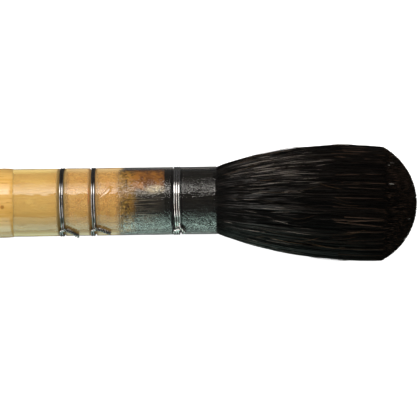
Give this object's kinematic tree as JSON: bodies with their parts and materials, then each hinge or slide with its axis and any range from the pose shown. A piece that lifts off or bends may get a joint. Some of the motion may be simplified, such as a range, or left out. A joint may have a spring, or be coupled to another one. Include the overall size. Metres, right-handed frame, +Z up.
{
  "type": "calligraphy brush",
  "caption": "Quill mop brush: turned wooden handle, clear quill ferrule bound with twisted wire, full domed head of black hair.",
  "frame": {"origin": "on the brush's axis, at the front edge of the handle's cylindrical seat, 1.6 mm behind the quill", "axes": "+X along the brush towards the tip of the hair, +Z up, -Y the side that the twisted tails of the wires lean towards"},
  "size_m": [0.2131, 0.021, 0.021],
  "materials": {
    "handle_wood": "clear lacquer, semi-gloss",
    "clear_quill": "glossy, clear amber",
    "steel_wire": "bright drawn wire",
    "glue": "clear amber glue",
    "resin": "dark set resin",
    "thread": "waxed thread soaked in resin",
    "hair": "black brush hair, soft sheen"
  },
  "bodies": {
    "root": {"handle": "handle_wood", "quill": "clear_quill", "rear_wire": "steel_wire", "middle_wire": "steel_wire", "front_wire": "steel_wire", "peg_glue": "glue", "resin_plug": "resin", "root_thread": "thread", "hair_core": "hair", "hair_cover": "hair"}
  },
  "joints": []
}
